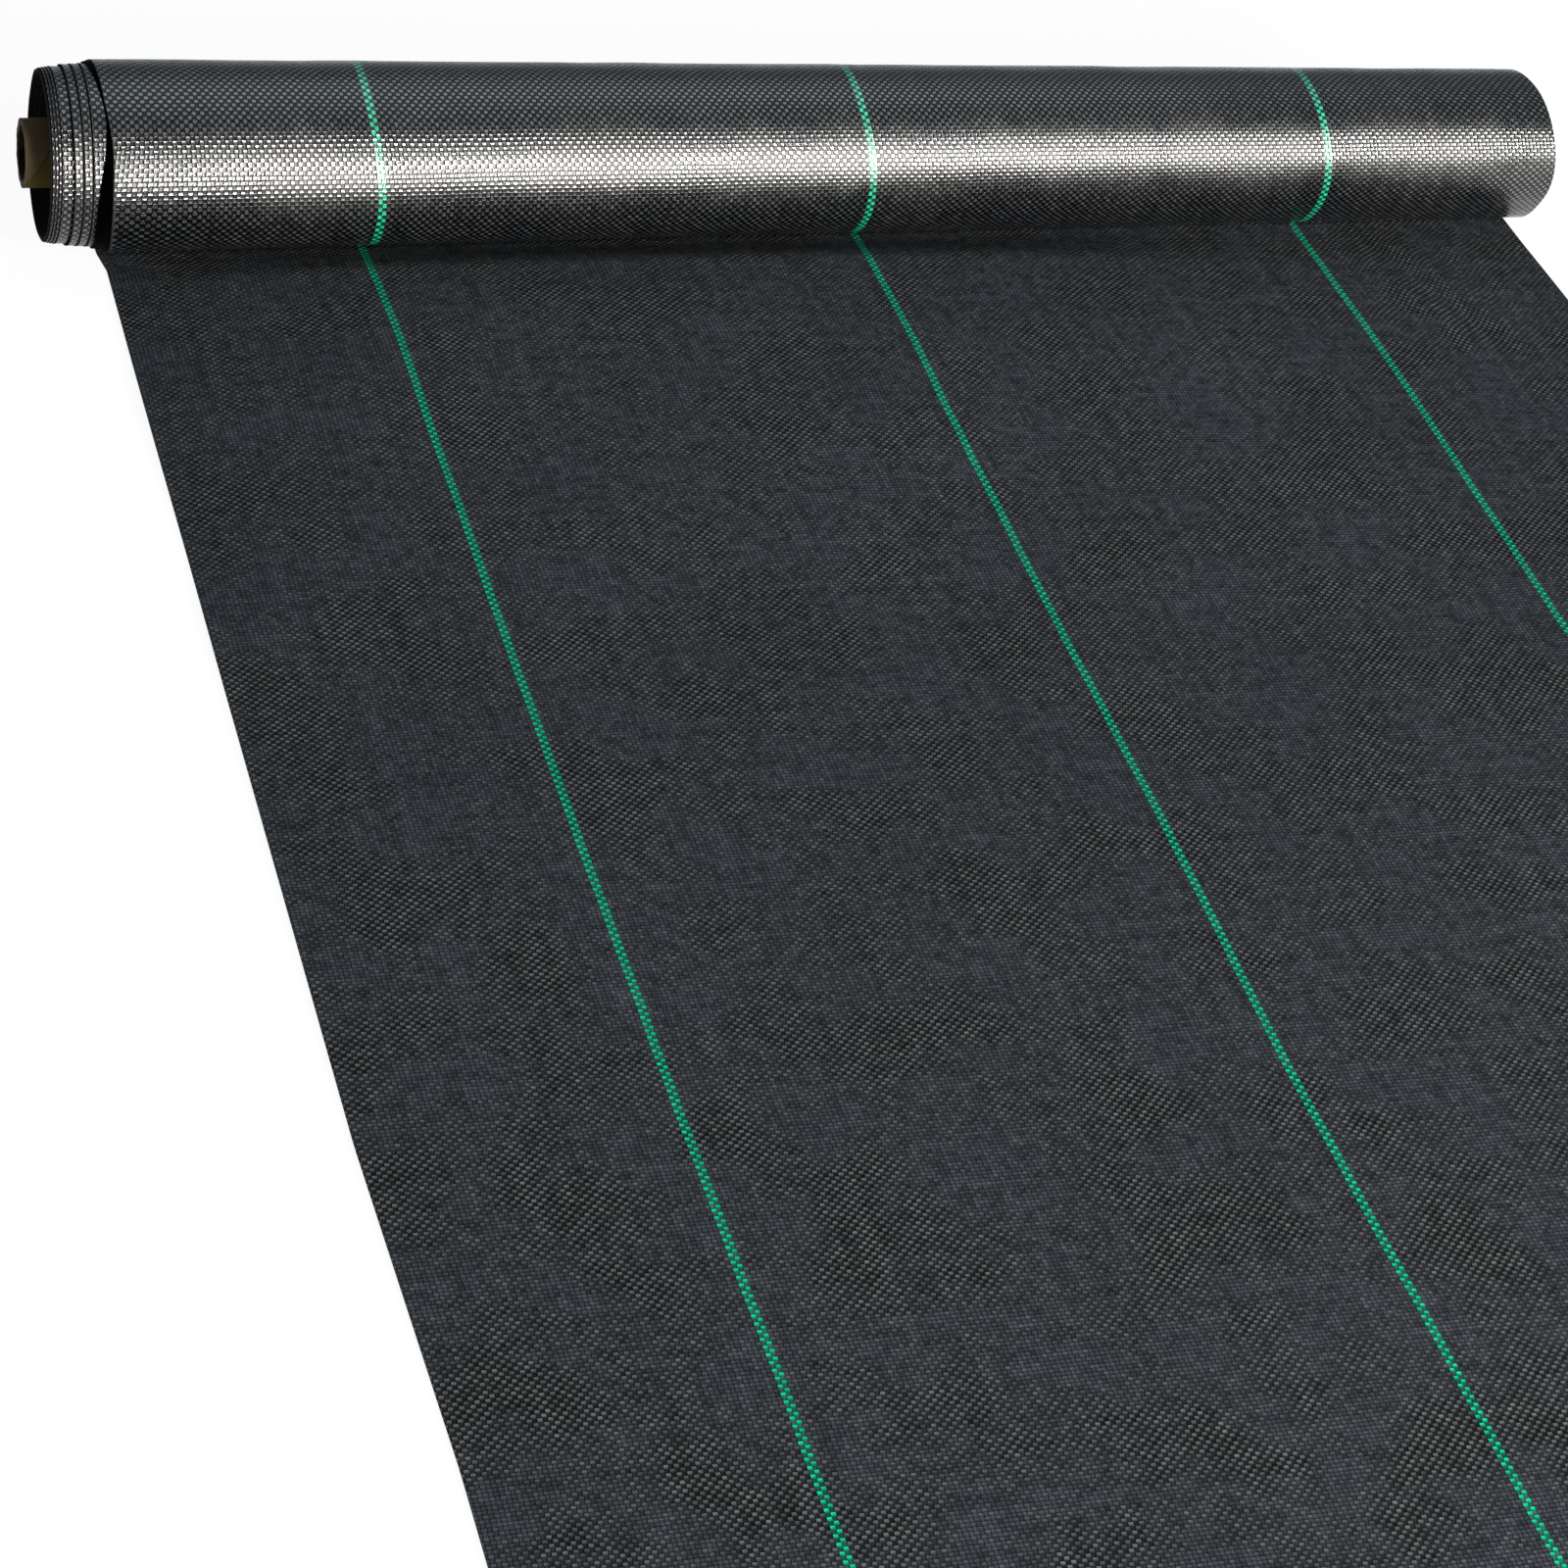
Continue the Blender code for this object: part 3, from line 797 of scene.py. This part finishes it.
def tape_weave():
    """Plain weave of flat tapes, worked out from a place on the cloth in metres.

    In each square cell a warp tape lies on top where the cell's two numbers
    add up to an odd one, and elsewhere a weft tape. It is crowned across and
    dives at both ends. The two warp tapes at each marker line are its marker,
    and the weft between them takes a little of it.
    """
    if "Woven tapes" in bpy.data.node_groups:
        return bpy.data.node_groups["Woven tapes"]
    tree, inputs = new_group("Woven tapes", [("Place", "Vector"), ("Pitch", "Float")])
    place, pitch = inputs[:2]
    sway = put(tree, "TexNoise", {"Vector": place, "Scale": 17.0, "Detail": 1.0})
    sway = vectors(tree, "SUBTRACT", sway.outputs[1], (0.5, 0.5, 0.5))
    sway = put(tree, "VectorMath", {0: sway, "Scale": 0.0016}, operation="SCALE").outputs[0]
    swayed = vectors(tree, "ADD", place, sway)
    across, along = put(tree, "SeparateXYZ", {0: swayed}).outputs[:2]
    a = maths(tree, "DIVIDE", across, pitch)
    b = maths(tree, "DIVIDE", along, pitch)
    i, j = maths(tree, "FLOOR", a), maths(tree, "FLOOR", b)
    off_a = less(tree, less(tree, a, i), 0.5)
    off_b = less(tree, less(tree, b, j), 0.5)
    warp = maths(tree, "FLOORED_MODULO", plus(tree, i, j), 2.0)
    warp = maths(tree, "GREATER_THAN", warp, 0.5)
    over_tape = maths(tree, "ABSOLUTE", between(tree, warp, off_b, off_a))
    down_tape = between(tree, warp, off_a, off_b)
    crown = less(tree, 1.0, maths(tree, "POWER", times(tree, over_tape, 2.0), 8.0))
    dive = maths(tree, "COSINE", times(tree, down_tape, math.pi))
    height = times(tree, crown, dive)
    gap = smooth(tree, height, 0.12, 0.55, 1.0, 0.0)
    marker = maths(tree, "FLOORED_MODULO", plus(tree, i, 1.0), 127.0)
    marker = times(tree, maths(tree, "LESS_THAN", marker, 1.5), between(tree, warp, 0.15, 1.0))
    own = between(tree, warp, chance(tree, plus(tree, j, 911.0)), chance(tree, i))
    tone = between(tree, 0.62, own, chance(tree, i, j))
    give_out(tree, Height=height, Tone=tone, Gap=gap, Marker=marker, Warp=warp)
    return tree


def new_material(name):
    """Empty material, its node tree and its output's surface socket."""
    material = bpy.data.materials.new(name)
    material.use_nodes = True
    tree = material.node_tree
    tree.nodes.clear()
    output = tree.nodes.new("ShaderNodeOutputMaterial")
    return material, tree, output.inputs["Surface"]


def finish_surface(tree, surface, colour, roughness, height, strength, distance, shine=0.5,
                   metallic=0.0, ior=1.5):
    """Ordinary surface with a bump of its own, linked to the material's output."""
    bump = put(tree, "Bump", {"Strength": strength, "Distance": distance, "Height": height})
    shader = put(tree, "BsdfPrincipled", {
        "Base Color": colour, "Roughness": roughness, "Metallic": metallic, "IOR": ior,
        "Specular IOR Level": shine, "Normal": bump.outputs[0]})
    tree.links.new(shader.outputs[0], surface)


# relief, roughness, level, contrast and drift of the painted warp sheen, specks, painted shade in
# the gaps, green, IOR and shine
WEAVES = {
    "ground_weave": (0.0002, 0.65, 0.96, 0.38, 0.26, 0.28, 0.6, 0.56, 1.5, 0.0),
    # the wound and crept copies have a lower level than the ground copy of the same cloth, painted
    # shade that keeps the roll dark under the front lamps
    "wound_weave": (0.00012, 0.27, 0.35, 0.90, 0.0, 0.25, 0.9, 0.6, 2.3, 0.5),
    "crept_weave": (0.0002, 0.27, 0.31, 0.90, 0.0, 0.25, 0.9, 0.6, 2.3, 0.5),
}


def woven_material(name, scene):
    """Black woven tapes with green marker tapes.

    The warp tapes are painted lighter and the weft tapes darker, a painted sheen
    and painted shade for how the light falls on the two kinds of float. This
    contrast drifts over the cloth, together with a faint change from bluish to
    brownish tapes. Each cell has its own tone, and soft specks reach over several.
    The gaps between tapes are painted black as painted shade, by a share given for
    each weave, and green is the marker's level. A mask paints the edge lines of the
    turns and the outer turn's curled margin black, as painted shade. Metallic takes
    the shine off what is black.
    """
    relief, roughness, level, contrast, drift, specks, painted_gap_shade, green, ior, shine = WEAVES[name]
    colours, cloth = scene.geotextile_finishes, scene.geotextile_cloth
    material, tree, surface = new_material(name)
    place = put(tree, "UVMap", uv_map="cloth").outputs[0]
    weave = put(tree, "Group", node_tree=tape_weave())
    tree.links.new(place, weave.inputs["Place"])
    weave.inputs["Pitch"].default_value = cloth.tape_pitch
    height, tone, gap, marker, warp = weave.outputs
    patch = smooth(tree, noise(tree, place, 15.0, 3.0, 0.6), 0.38, 0.64)
    speck = smooth(tree, noise(tree, place, 110.0, 3.0, 0.65), 0.30, 0.70,
                   1.0 - specks, 1.0 + specks)
    tapes = mixed(tree, patch, colours.tape_blue, colours.tape_brown)
    # painted sheen and shade: warp tapes lighter and weft tapes darker, by a contrast that drifts
    # with the patches
    painted_sheen_contrast = scaled(tree, patch, 2.0 * drift, contrast - drift)
    painted_warp_sheen = times(tree, painted_sheen_contrast, scaled(tree, warp, 2.0, -1.0))
    spread = (0.5 + 0.8 * contrast) * level
    # the gaps between the tapes are painted darker, and further down Metallic takes their shine
    # off, as painted shade
    share = times(tree, scaled(tree, tone, spread, level - spread / 2),
                  plus(tree, painted_warp_sheen, 1.0), between(tree, gap, speck, 1.0 - painted_gap_shade))
    tapes = tinted(tree, tapes, share)
    # the marker is painted darker in the gaps too, as painted shade
    green_level = times(tree, scaled(tree, tone, 0.5 * green, 0.75 * green),
                        between(tree, gap, 1.0, 0.45))
    colour = mixed(tree, marker, tapes, tinted(tree, colours.marker_green, green_level))
    rough = scaled(tree, tone, 0.10, roughness - 0.05)
    rough = plus(tree, rough, between(tree, warp, 0.04, -0.04))
    rough = plus(tree, rough, scaled(tree, patch, 0.10, -0.05))
    # painted shade where the mask is set: nearly black, fully rough, and with Metallic taking its
    # shine off
    painted_shade = put(tree, "Attribute", attribute_name="painted_shade").outputs["Fac"]
    colour = mixed(tree, painted_shade, colour, (0.001, 0.001, 0.001))
    rough = between(tree, painted_shade, rough, 1.0)
    # painted shade: the weft tapes take Metallic with a near-black colour, which takes their shine
    # off
    weft_shade_metallic = times(tree, painted_sheen_contrast, between(tree, warp, 0.85, 0.0))
    trap = maths(tree, "MAXIMUM", times(tree, gap, painted_gap_shade), painted_shade)
    trap = maths(tree, "MAXIMUM", trap, weft_shade_metallic)
    trap = times(tree, trap, less(tree, 1.0, marker))
    finish_surface(tree, surface, colour, rough, height, 1.0, relief, shine, trap, ior)
    return material


def wound_edge_material(scene, outside):
    """Cut edges of the wound layers, nearly black partly from painted shade, with fine dark lines
    of painted shade between the layers that follow one spiral.
    """
    colours, roll = scene.geotextile_finishes, scene.geotextile_roll
    material, tree, surface = new_material("wound_layer_edges")
    radius, share = uv_parts(tree, "layers")
    depth = less(tree, maths(tree, "DIVIDE", less(tree, outside, radius), roll.layer_pitch), share)
    layer = maths(tree, "CEIL", depth)
    ridge = smooth(tree, off_middle(tree, less(tree, layer, depth)), 0.28, 0.5, 1.0, 0.0)
    fray = noise(tree, object_place(tree), 900.0, 2.0)
    # painted shade: darker in the grooves between the layers
    level = times(tree, scaled(tree, chance(tree, layer), 0.9, 0.35),
                  between(tree, ridge, 0.25, 1.0), scaled(tree, fray, 1.2, 0.4))
    colour = tinted(tree, colours.wound_edge, level)
    relief = plus(tree, ridge, times(tree, fray, 0.5))
    finish_surface(tree, surface, colour, 0.7, relief, 0.8, 0.0002, shine=0.05)
    return material


def paper_fibres():
    """Grain of board and paper: fine stretched fibres and soft blotches."""
    if "Paper fibres" in bpy.data.node_groups:
        return bpy.data.node_groups["Paper fibres"]
    tree, inputs = new_group("Paper fibres", [("Place", "Vector")])
    long = put(tree, "Mapping", {"Vector": inputs[0], "Scale": (0.25, 1.0, 1.0)})
    give_out(tree, Grain=noise(tree, long.outputs[0], 1400.0, 3.0, 0.65),
             Blotch=noise(tree, inputs[0], 130.0, 3.0, 0.6))
    return tree


def paper_grain(tree):
    """Grain and blotches of the paper at each place on the core."""
    return put(tree, "Group", {0: object_place(tree)}, node_tree=paper_fibres()).outputs


def cardboard_material(scene):
    """Raw board of the tube, with the edges of its plies at the cut ends, and its bore painted near
    black as painted shade.
    """
    colours, core = scene.geotextile_finishes, scene.geotextile_core
    roll = scene.geotextile_roll
    material, tree, surface = new_material("tube_board")
    centred = put(tree, "Mapping", {
        "Vector": object_place(tree), "Location": (0.0, 0.0, -roll.axis_height - CORE_RISE)})
    flat = vectors(tree, "MULTIPLY", centred.outputs[0], (0.0, 1.0, 1.0))
    radius = put(tree, "VectorMath", {0: flat}, operation="LENGTH").outputs["Value"]
    bore = core.radius - core.wall
    ply = maths(tree, "DIVIDE", less(tree, radius, bore), 0.0004)
    line = smooth(tree, off_middle(tree, maths(tree, "FRACT", ply)), 0.30, 0.5)
    # painted shade: the bore's surface is painted near black and Metallic takes its shine off
    clear_of_bore_shade = smooth(tree, less(tree, radius, bore), 0.0, 0.0003)
    grain, blotch = paper_grain(tree)
    level = times(tree, scaled(tree, grain, 0.5, 0.55), scaled(tree, blotch, 0.4, 0.8),
                  scaled(tree, line, -0.45, 1.0))
    board = mixed(tree, clear_of_bore_shade, (0.012, 0.006, 0.004), colours.cardboard)
    colour = tinted(tree, board, level)
    relief = less(tree, grain, times(tree, line, 0.6))
    finish_surface(tree, surface, colour, between(tree, clear_of_bore_shade, 0.5, 0.8), relief, 0.7, 0.0001,
                   metallic=between(tree, clear_of_bore_shade, 0.9, 0.0))
    return material


def ply_material(scene, mouth):
    """Smooth kraft paper in one spiral strip, paler beside one edge of its seam."""
    colours, core = scene.geotextile_finishes, scene.geotextile_core
    material, tree, surface = new_material("ply_kraft")
    x, share = uv_parts(tree, "ply")
    seam_angle = 251.7 / 360.0
    along = maths(tree, "DIVIDE", less(tree, x, mouth), core.ply_lead)
    across = maths(tree, "FRACT", plus(tree, along, less(tree, share, seam_angle)))
    seam = smooth(tree, off_middle(tree, across), 0.494, 0.5)
    grain, blotch = paper_grain(tree)
    tone = smooth(tree, across, 0.0, 1.0)
    paper = mixed(tree, tone, colours.ply_dark, colours.ply_light)
    level = times(tree, scaled(tree, grain, 0.3, 0.75), scaled(tree, blotch, 0.4, 0.8),
                  scaled(tree, seam, -0.7, 1.0))
    colour = tinted(tree, paper, level)
    relief = less(tree, times(tree, grain, 0.3), seam)
    finish_surface(tree, surface, colour, scaled(tree, blotch, 0.2, 0.55), relief, 0.6, 0.0002,
                   shine=0.12)
    return material


# --- stage

def floor_material(scene):
    """Pale floor that the camera sees as nearly white, and that still takes
    the object's shadow."""
    material, tree, surface = new_material("pale_floor")
    paths = put(tree, "LightPath").outputs
    seen = maths(tree, "MAXIMUM", paths["Is Camera Ray"], paths["Is Transmission Ray"])
    plain = put(tree, "BsdfDiffuse", {0: (*scene.geotextile_finishes.floor, 1.0)})
    white = put(tree, "Emission", {0: (1.0, 1.0, 1.0, 1.0), 1: 1.0})
    mix = put(tree, "MixShader", {0: times(tree, seen, 0.93), 1: plain.outputs[0],
                                  2: white.outputs[0]})
    tree.links.new(mix.outputs[0], surface)
    return material


WARM_WHITE, SKY_WHITE = (1.0, 0.96, 0.90), (0.80, 0.92, 1.0)
FRONT_LAMPS_Y = -3.0
# each front lamp's name, its two ends as X and Z, and its height
FRONT_LAMPS = (("left_strip", (-0.05, 0.02), (0.55, 0.56), 0.16),
               ("middle_strip", (0.5, 0.72), (1.15, 0.30), 0.19),
               ("right_strip", (1.15, 1.08), (2.2, 1.42), 0.26),
               ("high_lamp", (0.5, 2.2), (0.85, 2.3), 0.4))


def area_lamp(name, place, corner, size, radiance, colour):
    """Rectangular lamp whose long side runs between two ends and faces the roll."""
    lamp = bpy.data.lights.new(name, "AREA")
    lamp.shape = "RECTANGLE"
    long_side = Vector(corner) - Vector(place)
    lamp.size, lamp.size_y = long_side.length, size
    lamp.energy = radiance * math.pi * lamp.size * lamp.size_y
    lamp.color = colour
    middle = (Vector(place) + Vector(corner)) / 2.0
    away = (middle - Vector((0.0, 0.0, 0.05))).normalized()
    side = long_side.normalized()
    away = (away - side * away.dot(side)).normalized()
    up = away.cross(side)
    turn = Matrix((side, up, away)).transposed().to_4x4()
    item = bpy.data.objects.new(name, lamp)
    item.matrix_world = Matrix.Translation(middle) @ turn
    item.visible_camera = False
    bpy.context.scene.collection.objects.link(item)


class GEOTEXTILE_OT_studio(bpy.types.Operator):
    """Set out the pale floor, the soft lamps, the world and the camera"""
    bl_idname = "geotextile.studio"
    bl_label = "Floor, light and camera"

    def execute(self, context):
        scene = context.scene
        light = scene.geotextile_light
        reach, level = 30.0, -0.0006
        corners = [(x * reach, y * reach, level) for x, y in ((-1, -1), (1, -1), (1, 1), (-1, 1))]
        mesh = bpy.data.meshes.new("pale_floor")
        mesh.from_pydata(corners, [], [(0, 1, 2, 3)])
        mesh.materials.append(floor_material(scene))
        floor = bpy.data.objects.new("pale_floor", mesh)
        scene.collection.objects.link(floor)

        for name, (x, z), (end_x, end_z), size in FRONT_LAMPS:
            area_lamp(name, (x, FRONT_LAMPS_Y, z), (end_x, FRONT_LAMPS_Y, end_z), size,
                      light.strip, WARM_WHITE)
        area_lamp("overhead_soft", (-1.6, 0.9, 3.0), (1.6, 0.9, 3.0), 2.4, light.overhead,
                  SKY_WHITE)

        world = bpy.data.worlds.new("studio_world")
        world.use_nodes = True
        tree = world.node_tree
        tree.nodes.clear()
        paths = put(tree, "LightPath").outputs
        soft = put(tree, "Background", {0: (0.82, 0.92, 1.0, 1.0), 1: light.world})
        white = put(tree, "Background", {0: (1.0, 1.0, 1.0, 1.0), 1: 1.0})
        mix = put(tree, "MixShader", {0: paths["Is Camera Ray"], 1: soft.outputs[0],
                                      2: white.outputs[0]})
        output = tree.nodes.new("ShaderNodeOutputWorld")
        tree.links.new(mix.outputs[0], output.inputs["Surface"])
        scene.world = world
        scene.view_settings.view_transform = "Standard"

        camera = bpy.data.cameras.new("studio_camera")
        camera.lens = 96.8
        camera.sensor_width = 36.0
        camera.clip_end = 100.0
        stand = bpy.data.objects.new("studio_camera", camera)
        stand.location = VIEWED_FROM
        stand.rotation_euler = [math.radians(angle) for angle in (53.068, -7.971, -15.767)]
        scene.collection.objects.link(stand)
        scene.camera = stand
        return {"FINISHED"}


# --- registration

# in the order in which they make the scene
PIECE_OPERATORS = (GEOTEXTILE_OT_ground_cloth, GEOTEXTILE_OT_outer_turns,
                   GEOTEXTILE_OT_crept_turns, GEOTEXTILE_OT_tight_roll,
                   GEOTEXTILE_OT_core_tube, GEOTEXTILE_OT_core_ply, GEOTEXTILE_OT_studio)
SETTINGS = (("geotextile_cloth", ClothSizes), ("geotextile_roll", RollSizes),
            ("geotextile_core", CoreSizes), ("geotextile_finishes", Finishes),
            ("geotextile_light", StudioLight))


class GEOTEXTILE_PT_pieces(bpy.types.Panel):
    """Lists the operators that make the roll and the settings they use"""
    bl_idname = "GEOTEXTILE_PT_pieces"
    bl_label = "Geotextile roll"
    bl_space_type = "VIEW_3D"
    bl_region_type = "UI"
    bl_category = "Geotextile"

    def draw(self, context):
        layout = self.layout
        for operator in PIECE_OPERATORS:
            layout.operator(operator.bl_idname)
        for attribute, group in SETTINGS:
            box = layout.box()
            for key in group.__annotations__:
                box.prop(getattr(context.scene, attribute), key)


def register():
    """Register the settings, the operators and the panel."""
    for attribute, group in SETTINGS:
        bpy.utils.register_class(group)
        setattr(bpy.types.Scene, attribute, PointerProperty(type=group))
    for item in (*PIECE_OPERATORS, GEOTEXTILE_PT_pieces):
        bpy.utils.register_class(item)


def unregister():
    """Take the panel, the operators and the settings away again."""
    for item in (GEOTEXTILE_PT_pieces, *reversed(PIECE_OPERATORS)):
        bpy.utils.unregister_class(item)
    for attribute, group in reversed(SETTINGS):
        delattr(bpy.types.Scene, attribute)
        bpy.utils.unregister_class(group)


def main():
    """Make every piece and the stage."""
    register()
    for operator in PIECE_OPERATORS:
        getattr(bpy.ops.geotextile, operator.bl_idname.partition(".")[2])()


if __name__ == "__main__":
    main()
